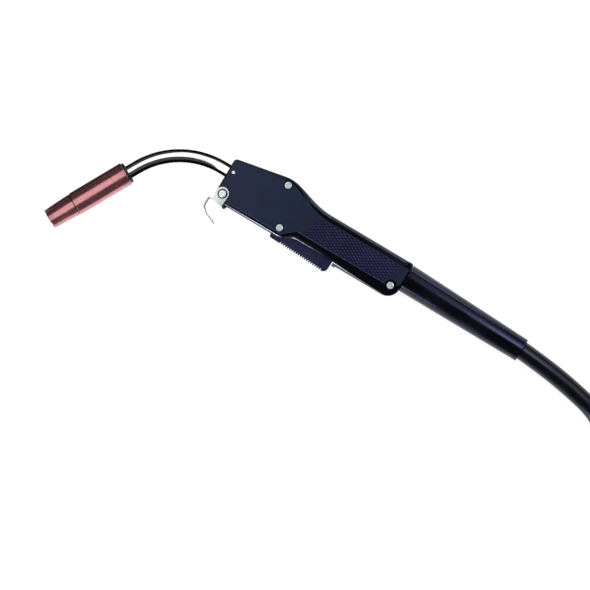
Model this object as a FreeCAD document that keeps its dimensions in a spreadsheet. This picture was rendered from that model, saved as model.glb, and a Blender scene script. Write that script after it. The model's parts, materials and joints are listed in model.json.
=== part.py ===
import FreeCAD, Part

import math
import os
import re

import Sketcher
from FreeCAD import Placement, Rotation, Vector

# An air-cooled MIG welding torch: copper nozzle and bent conductor tube, two-shell
# handle with trigger and hanging hook, cable boot, cable and central connector.
# It lies on its right side. X runs back along the handle, Y towards its top, Z up.
# X = 0 is the trigger's pivot, Y = 0 the tube's axis, Z = 0 the face it lies on.

DIMENSIONS = {
    # the handle, seen from its side
    "mid": 16,
    "panel_proud": 0.5,
    "handle_front": -72.5,
    "handle_rear": 134.5,
    "grip_top": 14,
    "grip_bottom": -28,
    "peak_x": -10.9,
    "peak_y": 26,
    "valley_x": 28.3,
    "rail_bottom": -32,
    "nose_bottom": -28.5,
    "notch_top": -24.5,
    "notch_end": 64,
    "wall": 2.9,
    "side_wall": 3.1,
    "seam_bore_gap": 0.05,
    # the screws that hold the two shells together
    "screw_radius": 2,
    "screw_hole": 2.15,
    "head_radius": 3.7,
    "head_height": 2.6,
    "boss_radius": 4.3,
    "nut_corner": 4.04,
    "nut_height": 3.2,
    "upper_screw_x": -13.5,
    "upper_screw_y": 17.7,
    "lower_screw_x": 0.5,
    "lower_screw_y": -23,
    "rear_screw_x": 124.7,
    "rear_screw_y": -16,
    "hook_x": -65.5,
    "hook_y": -22.8,
    "clamp_x": -67,
    "clamp_y": 1,
    "clamp_radius": 1.6,
    # the conductor tube
    "jacket_radius": 6.6,
    "jacket_bore": 5.6,
    "insulation_radius": 5.55,
    "insulation_bore": 4.55,
    "core_radius": 4.5,
    "core_bore": 2.6,
    "liner_radius": 2.4,
    "liner_bore": 1,
    "bend_start": -79.5,
    "bend_radius": 84,
    "neck_straight": 11.8,
    # the nozzle and what it covers, from its rear face
    "nozzle_length": 89.5,
    "nozzle_radius": 12.2,
    "nozzle_step": 59.6,
    "nozzle_tip_radius": 10.25,
    "nozzle_mouth": 7.95,
    "insulator_radius": 9.8,
    "diffuser_radius": 7,
    "diffuser_length": 40,
    "tip_radius": 4,
    "tip_length": 84,
    "wire_bore": 0.6,
    # connector block, cable and boot
    "block_radius": 10,
    "block_front": -30,
    "block_rear": 34,
    "cable_radius": 9.5,
    "jacket_inside": 7.1,
    "strand_radius": 7,
    "hose_radius": 3.5,
    "tilt_x": 75,
    "cable_start": 62,
    "boot_start": 59.8,
    "boot_end": 196.05,
    "boot_radius": 14.75,
    "boot_tip_radius": 12.25,
    # the trigger, from its pivot
    "pivot_y": -29.3,
    "pin_radius": 1.5,
    "trigger_half": 7,
    "trigger_front": -4,
    "trigger_back": 62.9,
    "trigger_bottom": -6.4,
    "trigger_top": 9,
    "tooth_pitch": 2.5,
    "tooth_depth": 1.7,
    # the hanging hook
    "sheet": 1.2,
    "ear_radius": 6.7,
    "tongue_half": 5,
    # the plug, from the small end of its boot
    "pin_length": 35,
    "plug_pin_radius": 5,
    "plug_body_radius": 14.9,
    "plug_nut_radius": 22.5,
    "plug_nut_start": 74.4,
    "plug_nut_end": 107,
    "plug_face": 93,
    "contact_radius": 2,
}

BEND_ANGLE = 61.5  # how far the tube turns down, degrees
CABLE_TILT = -1.3  # the boot and cable leave the handle this much off its axis
TRIGGER_TILT = -2.7  # the trigger's back edge stands this much away from the grip

doc = FreeCAD.newDocument("MigTorch")
sheet = doc.addObject("Spreadsheet::Sheet", "Dims")
for row, (alias, size) in enumerate(DIMENSIONS.items(), 1):
    sheet.set("A%d" % row, alias)
    sheet.set("B%d" % row, str(size))
    sheet.setAlias("B%d" % row, alias)
doc.recompute()


# ---- sizes and sketches ----


def size_of(text):
    """The value in mm of a sum such as 'mid - sheet*2'."""
    total, sign = 0.0, 1
    for word in str(text).split():
        if word in ("+", "-"):
            sign = 1 if word == "+" else -1
            continue
        product = 1.0
        for factor in word.split("*"):
            product *= DIMENSIONS[factor] if factor in DIMENSIONS else float(factor)
        total, sign = total + sign * product, 1
    return total


def formula(text):
    """The same sum as an expression on the sheet's cells."""
    return re.sub(r"[a-z][a-z_]*", lambda word: "Dims." + word.group(0), str(text))


def drive(thing, name, text):
    """Set a size, and bind it to the sheet where the sum names a cell."""
    if re.search("[a-z]", str(text)):
        thing.setExpression(name, formula(text))


def lock(sketch, geo, end, corner):
    """Fix a point of the sketch at a corner's two sums."""
    for axis, text in zip(("DistanceX", "DistanceY"), corner):
        tie = sketch.addConstraint(Sketcher.Constraint(axis, -1, 1, geo, end, size_of(text)))
        drive(sketch, "Constraints[%d]" % tie, text)


def corner_arc(before, at, after, radius):
    """The arc that rounds a corner: its two tangent points, centre and whether it turns left."""
    back, ahead = (before - at).normalize(), (after - at).normalize()
    half = back.getAngle(ahead) / 2
    reach = radius / math.tan(half)
    centre = at + (back + ahead).normalize() * (radius / math.sin(half))
    return at + back * reach, at + ahead * reach, centre, back.cross(ahead).z < 0


def add_lines(sketch, corners, closed):
    """Lines through the corners; a corner with a third value is rounded to that radius."""
    count = len(corners)
    points = [Vector(size_of(c[0]), size_of(c[1]), 0) for c in corners]
    starts, ends, arcs = list(points), list(points), {}
    for i, corner in enumerate(corners):
        if len(corner) > 2:
            radius = size_of(corner[2])
            around = points[i - 1], points[i], points[(i + 1) % count]
            ends[i], starts[i], centre, left = corner_arc(*around, radius)
            first, last = (ends[i], starts[i]) if left else (starts[i], ends[i])
            angles = [math.atan2(p.y - centre.y, p.x - centre.x) for p in (first, last)]
            circle = Part.Circle(centre, Vector(0, 0, 1), radius)
            arc = sketch.addGeometry(Part.ArcOfCircle(circle, *angles), False)
            arcs[i] = arc, (1, 2) if left else (2, 1)
    sides = range(count if closed else count - 1)
    lines = [
        sketch.addGeometry(Part.LineSegment(starts[i], ends[(i + 1) % count]), False) for i in sides
    ]
    for i, corner in enumerate(corners):
        before = lines[i - 1] if closed or i else None
        after = lines[i] if i < len(lines) else None
        if i in arcs:
            arc, (near, far) = arcs[i]
            sketch.addConstraint(Sketcher.Constraint("Tangent", before, 2, arc, near))
            sketch.addConstraint(Sketcher.Constraint("Tangent", arc, far, after, 1))
            tie = sketch.addConstraint(Sketcher.Constraint("Radius", arc, size_of(corner[2])))
            drive(sketch, "Constraints[%d]" % tie, corner[2])
            mark = sketch.addGeometry(Part.Point(points[i]), True)
            sketch.addConstraint(Sketcher.Constraint("PointOnObject", mark, 1, before))
            sketch.addConstraint(Sketcher.Constraint("PointOnObject", mark, 1, after))
            lock(sketch, mark, 1, corner)
        elif after is None:
            lock(sketch, before, 2, corner)
        else:
            if before is not None:
                sketch.addConstraint(Sketcher.Constraint("Coincident", before, 2, after, 1))
            lock(sketch, after, 1, corner)


def add_circle(sketch, across, up, radius):
    """A circle of a bound radius at a bound centre."""
    at = Vector(size_of(across), size_of(up), 0)
    ring = sketch.addGeometry(Part.Circle(at, Vector(0, 0, 1), size_of(radius)), False)
    tie = sketch.addConstraint(Sketcher.Constraint("Radius", ring, size_of(radius)))
    drive(sketch, "Constraints[%d]" % tie, radius)
    lock(sketch, ring, 3, (across, up))


def new_sketch(body, name, role="XY_Plane", lift="0"):
    """An empty sketch on one of its body's origin planes, lifted off it."""
    sketch = body.newObject("Sketcher::SketchObject", name)
    plane = next(f for f in body.Origin.OriginFeatures if f.Role == role)
    sketch.AttachmentSupport = [(plane, "")]
    sketch.MapMode = "FlatFace"
    sketch.AttachmentOffset = Placement(Vector(0, 0, size_of(lift)), Rotation())
    drive(sketch, "AttachmentOffset.Base.z", lift)
    return sketch


def new_body(label, place=Placement()):
    body = doc.addObject("PartDesign::Body", label)
    body.Label = label
    body.Placement = place
    return body


def turned(label, corners, place=Placement(), angle=360):
    """A piece turned on a lathe: corners are (along the axis, radius)."""
    body = new_body(label, place)
    sketch = new_sketch(body, label + "_profile")
    add_lines(sketch, corners, True)
    turn = body.newObject("PartDesign::Revolution", label + "_turn")
    turn.Profile = sketch
    turn.ReferenceAxis = (sketch, ["H_Axis"])
    turn.Angle = angle
    return body


def plate(label, corners, low, high, place=Placement(), role="XY_Plane"):
    """A flat piece with the outline of the corners, from height low to height high."""
    body = new_body(label, place)
    sketch = new_sketch(body, label + "_outline", role, low)
    add_lines(sketch, corners, True)
    pad = body.newObject("PartDesign::Pad", label + "_pad")
    pad.Profile = sketch
    pad.Length = size_of(high) - size_of(low)
    drive(pad, "Length", "%s - ( %s )" % (high, low) if re.search("[a-z]", high + low) else "0")
    return body


def piped(label, spine, radii, place=Placement(), strip=None):
    """A tube of the given radii, or a flat strip, that follows a line of rounded corners."""
    body = new_body(label, place)
    path = new_sketch(body, label + "_path")
    add_lines(path, spine, False)
    start, ahead = (Vector(size_of(c[0]), size_of(c[1]), 0) for c in spine[:2])
    section = body.newObject("Sketcher::SketchObject", label + "_section")
    facing = Rotation(Vector(0, 0, 1), ahead - start)
    section.Placement = Placement(start, facing)
    for radius in radii:
        add_circle(section, "0", "0", radius)
    if strip:
        thick, half = strip
        side = facing.inverted().multVec(Vector(0, 0, 1))
        flat = abs(side.x) > 0.5
        a, b = (half, thick + "*0.5") if flat else (thick + "*0.5", half)
        corners = [("- " + a, "- " + b), (a, "- " + b), (a, b), ("- " + a, b)]
        add_lines(section, corners, True)
    pipe = body.newObject("PartDesign::AdditivePipe", label + "_pipe")
    pipe.Profile = section
    pipe.Spine = (path, ["Edge%d" % (i + 1) for i in range(len(spine) * 2 - 3)])
    return body


def rod(name, radius, base, axis, length):
    """A cylinder from a base point along an axis."""
    cylinder = doc.addObject("Part::Cylinder", name)
    cylinder.Radius = size_of(radius)
    cylinder.Height = size_of(length)
    drive(cylinder, "Radius", radius)
    drive(cylinder, "Height", length)
    point = Vector(*(size_of(b) for b in base))
    cylinder.Placement = Placement(point, Rotation(Vector(0, 0, 1), Vector(*axis)))
    return cylinder


def block(name, x, y, z):
    """A box between the low and high sums of each axis."""
    box = doc.addObject("Part::Box", name)
    box.Placement = Placement(Vector(*(size_of(pair[0]) for pair in (x, y, z))), Rotation())
    for side, axis, (low, high) in zip(("Length", "Width", "Height"), "xyz", (x, y, z)):
        setattr(box, side, size_of(high) - size_of(low))
        if re.search("[a-z]", "%s%s" % (low, high)):
            box.setExpression(side, "%s - (%s)" % (formula(high), formula(low)))
            box.setExpression("Placement.Base." + axis, formula(low))
    return box


def hexagon(name, corner, base, length, axis=(0, 0, 1)):
    prism = doc.addObject("Part::Prism", name)
    prism.Polygon = 6
    prism.Circumradius = size_of(corner)
    prism.Height = size_of(length)
    drive(prism, "Circumradius", corner)
    drive(prism, "Height", length)
    point = Vector(*(size_of(b) for b in base))
    prism.Placement = Placement(point, Rotation(Vector(0, 0, 1), Vector(*axis)))
    return prism


def fused(name, *shapes):
    fuse = doc.addObject("Part::MultiFuse", name)
    fuse.Shapes = list(shapes)
    fuse.Label = name
    return fuse


def group(name, *shapes):
    """Separate solids that share a node."""
    compound = doc.addObject("Part::Compound", name)
    compound.Links = list(shapes)
    compound.Label = name
    return compound


def less(name, base, *tools):
    """The base with the tools cut away."""
    cut = doc.addObject("Part::Cut", name)
    cut.Base = base
    cut.Tool = tools[0] if len(tools) == 1 else fused(name + "_tools", *tools)
    cut.Label = name
    return cut


def within(name, base, other):
    common = doc.addObject("Part::Common", name)
    common.Base = base
    common.Tool = other
    common.Label = name
    return common


def rounded_edges(name, base, radius_at, wanted):
    """Round each wanted edge, with the radius that its far and near ends have."""
    doc.recompute()
    fillet = doc.addObject("Part::Fillet", name)
    fillet.Base = base
    chosen = []
    for index, edge in enumerate(base.Shape.Edges, 1):
        if wanted(edge):
            near, far = (edge.valueAt(p) for p in edge.ParameterRange)
            chosen.append((index, radius_at(far), radius_at(near)))
    fillet.Edges = chosen
    return fillet


# ---- places ----

AT_MID = Vector(0, 0, size_of("mid"))
ON_AXIS = Placement(AT_MID, Rotation())
half_bend = math.tan(math.radians(BEND_ANGLE) / 2)
neck_corner = size_of("bend_start") - size_of("bend_radius") * half_bend
forward = Vector(-math.cos(math.radians(BEND_ANGLE)), -math.sin(math.radians(BEND_ANGLE)), 0)
to_nozzle = size_of("bend_radius") * half_bend + size_of("neck_straight")
nozzle_rear = Vector(neck_corner, 0, 0) + forward * to_nozzle
AT_NOZZLE = Placement(nozzle_rear + AT_MID, Rotation(Vector(0, 0, 1), 180 + BEND_ANGLE))
TILTED = Rotation(Vector(0, 0, 1), CABLE_TILT)
AT_TILT = Placement(Vector(size_of("tilt_x"), 0, size_of("mid")), TILTED)
AT_PIVOT = Placement(
    Vector(0, size_of("pivot_y"), size_of("mid")), Rotation(Vector(0, 0, 1), TRIGGER_TILT)
)


def neck_line(rear, front):
    """From a point on the handle's axis, round the bend, to a distance past the nozzle's rear."""
    end = nozzle_rear + forward * front
    return [(rear, "0"), (str(neck_corner), "0", "bend_radius"), (str(end.x), str(end.y))]


def cable_line(front, rear):
    """From a point on the handle's axis to a distance along the tilted cable."""
    end = AT_TILT.Rotation.multVec(Vector(rear, 0, 0))
    return [
        (front, "0"),
        ("tilt_x", "0", "300"),
        (str(size_of("tilt_x") + end.x), str(end.y)),
    ]


# ---- nozzle end ----

nozzle = turned(
    "nozzle",
    [
        ("0", "insulator_radius + 0.05"),
        ("0", "nozzle_radius", "0.5"),
        ("14.7", "nozzle_radius"),
        ("14.9", "nozzle_radius - 0.25"),
        ("15.3", "nozzle_radius - 0.25"),
        ("15.5", "nozzle_radius"),
        ("nozzle_step - 0.3", "nozzle_radius"),
        ("nozzle_step", "nozzle_radius - 0.3"),
        ("nozzle_step", "nozzle_radius - 0.85"),
        ("nozzle_step + 0.9", "nozzle_radius - 0.85"),
        ("nozzle_step + 1.3", "nozzle_radius - 0.55"),
        ("nozzle_step + 10", "nozzle_radius - 0.9", "60"),
        ("nozzle_length", "nozzle_tip_radius", "0.9"),
        ("nozzle_length", "nozzle_mouth", "0.5"),
        ("62", "nozzle_mouth + 0.8"),
        ("24", "nozzle_mouth + 0.8"),
        ("22.5", "insulator_radius + 0.05"),
    ],
    AT_NOZZLE,
)
insulator = turned(
    "nozzle_insulator",
    [
        ("- 2.5", "jacket_radius + 0.05"),
        ("- 2.5", "nozzle_radius - 1.4", "0.9"),
        ("- 0.05", "nozzle_radius - 1.4"),
        ("- 0.05", "insulator_radius"),
        ("11", "insulator_radius"),
        ("11", "insulator_radius - 1"),
        ("13", "insulator_radius - 1"),
        ("13", "insulator_radius"),
        ("22", "insulator_radius", "0.8"),
        ("22", "diffuser_radius + 0.05"),
        ("3", "diffuser_radius + 0.05"),
        ("3", "jacket_radius + 0.05"),
    ],
    AT_NOZZLE,
)
spring_ring = turned(
    "nozzle_spring_ring",
    [
        ("11.1", "insulator_radius - 0.95"),
        ("11.1", "insulator_radius"),
        ("12.9", "insulator_radius"),
        ("12.9", "insulator_radius - 0.95"),
    ],
    AT_NOZZLE,
    330,
)
diffuser_blank = turned(
    "diffuser_blank",
    [
        ("3.05", "insulation_bore"),
        ("3.05", "diffuser_radius"),
        ("diffuser_length - 1.5", "diffuser_radius"),
        ("diffuser_length", "diffuser_radius - 1.5"),
        ("diffuser_length", "tip_radius - 0.55"),
        ("30", "tip_radius - 0.55"),
        ("30", "liner_radius + 0.5"),
        ("14", "liner_radius + 0.5"),
        ("14", "insulation_bore"),
    ],
    AT_NOZZLE,
)
GAS_HOLES, GAS_HOLE_AT = 6, 26.5
gas_holes = []
for i in range(GAS_HOLES):
    outward = Rotation(Vector(1, 0, 0), i * 360 / GAS_HOLES).multVec(Vector(0, 0, 1))
    foot = AT_NOZZLE.multVec(Vector(GAS_HOLE_AT, 0, 0))
    outward = AT_NOZZLE.Rotation.multVec(outward)
    gas_holes.append(rod("gas_hole_%d" % i, "1.1", foot, outward, "diffuser_radius + 1"))
diffuser = less("gas_diffuser", diffuser_blank, *gas_holes)
contact_tip = turned(
    "contact_tip",
    [
        ("31", "wire_bore*2"),
        ("31", "tip_radius - 0.6"),
        ("diffuser_length + 0.05", "tip_radius - 0.6"),
        ("diffuser_length + 0.05", "tip_radius"),
        ("tip_length - 9", "tip_radius"),
        ("tip_length", "tip_radius - 1.4", "0.8"),
        ("tip_length", "wire_bore"),
        ("38", "wire_bore"),
        ("36.5", "wire_bore*2"),
    ],
    AT_NOZZLE,
)

# ---- conductor tube ----

tube_jacket = piped(
    "tube_jacket", neck_line("- 38", 2.9), ("jacket_radius", "jacket_bore"), ON_AXIS
)
tube_insulation = piped(
    "tube_insulation", neck_line("- 34", 2.9), ("insulation_radius", "insulation_bore"), ON_AXIS
)
tube_core = piped("tube_core", neck_line("- 20", 13), ("core_radius", "core_bore"), ON_AXIS)
CABLE_INSIDE_END = 187  # the strands, hose and liner reach this far past the tilt
cable_end = AT_TILT.Rotation.multVec(Vector(CABLE_INSIDE_END, 0, 0))
front_end = nozzle_rear + forward * 13.9
wire_liner = piped(
    "wire_liner",
    [
        (str(size_of("tilt_x") + cable_end.x), str(cable_end.y)),
        ("tilt_x", "0", "300"),
        (str(neck_corner), "0", "bend_radius"),
        (str(front_end.x), str(front_end.y)),
    ],
    ("liner_radius", "liner_bore"),
    ON_AXIS,
)

# ---- power connection inside the handle ----

block_blank = turned(
    "block_blank",
    [
        ("block_front", "core_radius + 0.05"),
        ("block_front", "block_radius", "1"),
        ("- 6", "block_radius"),
        ("- 4", "block_radius - 2"),
        ("8", "block_radius - 2"),
        ("10", "block_radius"),
        ("block_rear", "block_radius", "1"),
        ("block_rear", "6"),
        ("14", "6"),
        ("14", "core_bore"),
        ("- 19.5", "core_bore"),
        ("- 19.5", "core_radius + 0.05"),
    ],
    ON_AXIS,
)
SET_SCREWS = ((-25, 4.55), (24, 6.0))  # where each stands, and how far its foot is off the axis
set_holes = [
    rod("set_hole_%d" % i, "2.5", (x, 0, "mid"), (0, 0, 1), "block_radius + 1")
    for i, (x, foot) in enumerate(SET_SCREWS)
]
connector_block = less("connector_block", block_blank, *set_holes)
set_screws = [
    less(
        "set_screw_%d" % i,
        rod("set_blank_%d" % i, "2.45", (x, 0, "mid + %s" % foot), (0, 0, 1), "3.8"),
        hexagon("set_key_%d" % i, "1.4", (x, 0, "mid + %s" % (foot + 2)), "3"),
    )
    for i, (x, foot) in enumerate(SET_SCREWS)
]
connector_set_screws = group("connector_set_screws", *set_screws)
cable_ferrule = turned(
    "cable_ferrule",
    [
        ("15", "hose_radius + 0.1"),
        ("15", "5.95"),
        ("block_rear + 0.1", "5.95"),
        ("block_rear + 0.1", "8.5", "0.8"),
        ("58", "8.5", "0.8"),
        ("58", "strand_radius + 0.05"),
        ("38", "strand_radius + 0.05"),
        ("38", "hose_radius + 0.1"),
    ],
    ON_AXIS,
)
cable_strands = piped(
    "cable_strands",
    cable_line("38.5", CABLE_INSIDE_END),
    ("strand_radius", "hose_radius + 0.1"),
    ON_AXIS,
)
gas_hose = piped(
    "gas_hose", cable_line("16", CABLE_INSIDE_END), ("hose_radius", "core_bore"), ON_AXIS
)
cable_jacket = piped(
    "cable_jacket",
    cable_line("cable_start", size_of("boot_end")),
    ("cable_radius", "jacket_inside"),
    ON_AXIS,
)
cable_boot = turned(
    "cable_boot",
    [
        ("54.6", "cable_radius + 0.05"),
        ("54.6", "11.9"),
        ("56.4", "11.9"),
        ("56.4", "10.8"),
        ("boot_start", "10.8"),
        ("boot_start", "boot_radius", "0.5"),
        ("boot_end - 5", "boot_tip_radius"),
        ("boot_end", "boot_tip_radius", "0.8"),
        ("boot_end", "cable_radius + 0.9"),
        ("boot_end - 1.5", "cable_radius + 0.05"),
    ],
    AT_TILT,
)

# ---- handle shells ----

# Each corner of the side outline: x, y, its radius, and the radius of the edge round the sides.
GRIP_EDGE, BELLY_EDGE, REAR_EDGE = 7, 10.7, 2
HANDLE_CORNERS = [
    ("handle_front", "grip_top", "4"),
    ("peak_x", "peak_y", "38"),
    ("valley_x", "grip_top + 0.15", "80"),
    ("handle_rear - 9", "grip_top + 0.05"),
    ("handle_rear", "grip_top", "2.6"),
    ("handle_rear", "grip_bottom", "13"),
    ("18", "grip_bottom", "20"),
    ("5", "rail_bottom", "20"),
    ("- 60", "rail_bottom + 0.1", "14"),
    ("handle_front", "nose_bottom", "3"),
]
EDGE_RADII = [
    (Vector(-72.5, 14, 0), 2.5),
    (Vector(-10.9, 26, 0), 3.5),
    (Vector(28.3, 14.15, 0), GRIP_EDGE),
    (Vector(125.5, 14.05, 0), GRIP_EDGE),
    (Vector(134.5, 14, 0), REAR_EDGE),
    (Vector(134.5, -15, 0), REAR_EDGE),
    (Vector(121.5, -28, 0), BELLY_EDGE),
    (Vector(18, -28, 0), BELLY_EDGE),
    (Vector(5, -32, 0), 4.5),
    (Vector(-60, -31.9, 0), 4),
    (Vector(-72.5, -28.5, 0), 2.5),
]


def edge_radius(point):
    """The radius of the handle's long edges near a point of its outline."""
    flat = Vector(point.x, point.y, 0)
    return min(EDGE_RADII, key=lambda pair: pair[0].distanceToPoint(flat))[1]


def lies_flat(edge):
    """Whether an edge runs across the handle's side and not through its thickness."""
    low, high = edge.BoundBox.ZMin, edge.BoundBox.ZMax
    return high - low < 0.01


handle_blank = plate("handle_blank", HANDLE_CORNERS, "panel_proud", "mid*2 - panel_proud")
handle_body = rounded_edges("handle_body", handle_blank, edge_radius, lies_flat)
side_panel = plate(
    "side_panel",
    [
        ("handle_front + 2.5", "grip_top - 2.6", "2.5"),
        ("peak_x", "peak_y - 3.6", "35"),
        ("valley_x", "grip_top - 7", "70"),
        ("handle_rear - 1.5", "grip_top - 7.1", "1.2"),
        ("handle_rear - 1.5", "grip_bottom + 10.7", "11"),
        ("17.2", "grip_bottom + 10.7", "3"),
        ("5.2", "rail_bottom + 4.2", "2"),
        ("handle_front + 2.5", "rail_bottom + 4.2", "2"),
    ],
    "0",
    "mid*2",
)
panel_body = rounded_edges("panel_body", side_panel, lambda point: 0.4, lies_flat)
hook_stop = plate(
    "hook_stop",
    [
        ("- 59.6", "- 30"),
        ("- 59.6", "- 34"),
        ("- 58.6", "- 35.4"),
        ("- 57", "- 35.4"),
        ("- 54", "- 30"),
    ],
    "mid - 11",
    "mid + 11",
)
trigger_stop = plate(
    "trigger_stop",
    [
        ("notch_end", "- 26"),
        ("notch_end", "- 29"),
        ("notch_end + 3.5", "- 29", "1"),
        ("notch_end + 6", "- 26"),
    ],
    "mid - 6",
    "mid + 6",
)
handle_outer = fused("handle_outer", handle_body, panel_body, hook_stop, trigger_stop)
cavity = plate(
    "cavity",
    [
        ("handle_front + 8", "grip_top - 3"),
        ("peak_x", "peak_y - wall", "36"),
        ("valley_x", "grip_top - 3.3", "80"),
        ("handle_rear - wall", "grip_top - 3.4"),
        ("handle_rear - wall", "grip_bottom + wall", "10"),
        ("notch_end + 2.8", "grip_bottom + wall"),
        ("notch_end + 2.8", "notch_top + 2.8"),
        ("18.9", "notch_top + 2.8"),
        ("1.9", "rail_bottom + 2.8"),
        ("handle_front + 8", "rail_bottom + 2.8"),
    ],
    "panel_proud + side_wall",
    "mid*2 - panel_proud - side_wall",
)
handle_walls = less("handle_walls", handle_outer, cavity)

SHELL_SCREWS = ("upper", "lower", "rear")
UP, BACK = (0, 0, 1), (1, 0, 0)
LOW, HIGH = "2", "mid*2 - 2"  # just under the outside of each side wall
bosses = [
    rod("boss_upper", "boss_radius", ("upper_screw_x", "upper_screw_y", LOW), UP, "mid*2 - 4"),
    rod("boss_rear", "4", ("rear_screw_x", "rear_screw_y", LOW), UP, "mid*2 - 4"),
    rod("boss_hook", "6.2", ("hook_x", "hook_y", LOW), UP, "mid*2 - 4"),
    rod("boss_clamp", "4", ("clamp_x", "clamp_y", "mid"), UP, "mid - 2"),
]
for side, foot in (("right", LOW), ("left", "mid*2 - 8.3")):
    lower_foot = ("lower_screw_x", "lower_screw_y", foot)
    bosses.append(rod("boss_lower_" + side, "4", lower_foot, UP, "6.3"))
    bosses.append(rod("boss_pivot_" + side, "3.2", ("0", "pivot_y", foot), UP, "6.3"))
SWITCH_SCREWS = ((13, -15.5), (25, -15.5))
for i, (x, y) in enumerate(SWITCH_SCREWS):
    bosses.append(rod("post_right_%d" % i, "2.4", (x, y, LOW), UP, "mid - 5.3"))
    bosses.append(rod("post_left_%d" % i, "2.4", (x, y, "mid + 3.3"), UP, "mid - 5.3"))
FULL_DEPTH = (LOW, HIGH)
ribs = [
    block("rib_tube", ("- 46", "- 43"), ("- 29.5", "18"), FULL_DEPTH),
    block("rib_block_front", ("- 28", "- 22"), ("- 29.5", "21"), FULL_DEPTH),
    block("rib_block_rear", ("28.2", "33.2"), ("- 12", "11.5"), FULL_DEPTH),
    block("rib_cable", ("98", "101"), ("- 25.5", "11"), FULL_DEPTH),
    block("spring_post", ("42", "50"), ("- 19", "- 12.5"), ("mid - 4.5", "mid + 4.5")),
    block("spring_bridge", ("42", "50"), ("- 13", "- 11.4"), FULL_DEPTH),
]
handle_inside = within("handle_inside", handle_outer, fused("handle_supports", *bosses, *ribs))

holes = [
    block("lead_way", ("28", "34"), ("- 13", "- 9.6"), ("mid - 4.7", "mid + 4.7")),
    rod("bore_tube", "jacket_radius + seam_bore_gap", ("- 80", "0", "mid"), BACK, "50"),
    rod("bore_block", "block_radius + seam_bore_gap", ("- 31", "0", "mid"), BACK, "64.9"),
    rod("hole_pivot", "pin_radius + 0.05", ("0", "pivot_y", "4.5"), UP, "23"),
    rod("hole_clamp", "clamp_radius + 0.05", ("clamp_x", "clamp_y", "mid"), UP, "30"),
    rod("recess_clamp", "clamp_radius + 0.8", ("clamp_x", "clamp_y", "mid + 12"), UP, "6"),
    rod("recess_upper", "4.7", ("upper_screw_x", "upper_screw_y", "mid*2 - 3.4"), UP, "6"),
    rod("recess_lower", "4.7", ("lower_screw_x", "lower_screw_y", "mid*2 - 3.4"), UP, "6"),
    rod("recess_rear", "6", ("rear_screw_x", "rear_screw_y", "mid*2 - 3.4"), UP, "6"),
    rod("hole_hook", "screw_hole", ("hook_x", "hook_y", "- 1"), UP, "40"),
    rod("hole_hook_nut", "3.05", ("hook_x", "hook_y", "- 1"), UP, "13.6"),
]
for end in SHELL_SCREWS:
    at = (end + "_screw_x", end + "_screw_y")
    holes.append(rod("hole_" + end, "screw_hole", (*at, "- 1"), UP, "40"))
    holes.append(hexagon("pocket_" + end, "nut_corner + 0.1", (*at, "- 1"), "nut_height + 1.65"))
tilted_bore = AT_TILT.multVec(Vector(20, 0, 0))
boot_bore = AT_TILT.multVec(Vector(54, 0, 0))
along_cable = TILTED.multVec(Vector(1, 0, 0))
holes.append(rod("bore_cable", "cable_radius + seam_bore_gap", tilted_bore, along_cable, "30"))
holes.append(rod("bore_boot", "10.85", boot_bore, along_cable, "12"))
trigger_slot = block(
    "trigger_slot", ("- 5.2", "notch_end"), ("- 40", "- 20.5"), ("mid - 7.3", "mid + 7.3")
)
notch = plate(
    "notch",
    [
        ("2", "- 33.5"),
        ("2.6", "- 32.17"),
        ("20", "notch_top"),
        ("notch_end", "notch_top"),
        ("notch_end", "- 33.5"),
    ],
    "- 1",
    "mid*2 + 1",
)
HOOK_POCKET = [
    ("- 73.6", "- 37"),
    ("- 73.6", "hook_y + ear_radius + 1", "7.4"),
    ("- 57.7", "hook_y + ear_radius + 1", "7.4"),
    ("- 57.7", "- 37"),
]
hook_pocket_left = plate("hook_pocket_left", HOOK_POCKET, "mid*2 - 1.85", "mid*2 + 1")
hook_pocket_right = plate("hook_pocket_right", HOOK_POCKET, "- 1", "1.85")
GRIP_PATCH = [
    ("32.6", "5.3", "0.8"),
    ("124", "5.3", "4"),
    ("115.4", "- 16.2", "0.8"),
    ("23.4", "- 16.2", "0.8"),
]
patch_left = plate("patch_left", GRIP_PATCH, "mid*2 - 0.75", "mid*2 + 1")
patch_right = plate("patch_right", GRIP_PATCH, "- 1", "0.75")
pockets = (trigger_slot, notch, hook_pocket_left, hook_pocket_right, patch_left, patch_right)
handle_solid = fused("handle_solid", handle_walls, handle_inside)
handle = less("handle", handle_solid, *holes, *pockets)
X_SPAN, Y_SPAN = ("- 80", "140"), ("- 40", "30")
left_handle_shell = within(
    "left_handle_shell", handle, block("left_space", X_SPAN, Y_SPAN, ("mid", "mid*2 + 1"))
)
right_handle_shell = within(
    "right_handle_shell", handle, block("right_space", X_SPAN, Y_SPAN, ("- 1", "mid"))
)

# ---- fasteners of the handle ----


def cross_screw(name, x, y, seat, length):
    """A pan-head machine screw with a cross recess, its head up."""
    profile = [
        ("0", "0"),
        ("0", "screw_radius"),
        (str(length), "screw_radius"),
        (str(length), "head_radius", "0.2"),
        ("%s + head_height" % length, "head_radius", "1.1"),
        ("%s + head_height" % length, "0"),
    ]
    foot = Vector(size_of(x), size_of(y), size_of(seat) - length)
    blank = turned(name + "_blank", profile, Placement(foot, Rotation(Vector(1, 0, 0), Vector(*UP))))
    top = size_of(seat) + size_of("head_height")
    depth = (top - 1.2, top + 1)
    slots = []
    for i, (half_x, half_y) in enumerate(((2.2, 0.6), (0.6, 2.2))):
        across = ("%s - %s" % (x, half_x), "%s + %s" % (x, half_x))
        along = ("%s - %s" % (y, half_y), "%s + %s" % (y, half_y))
        slots.append(block("%s_slot_%d" % (name, i), across, along, depth))
    return less(name, blank, *slots)


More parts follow.
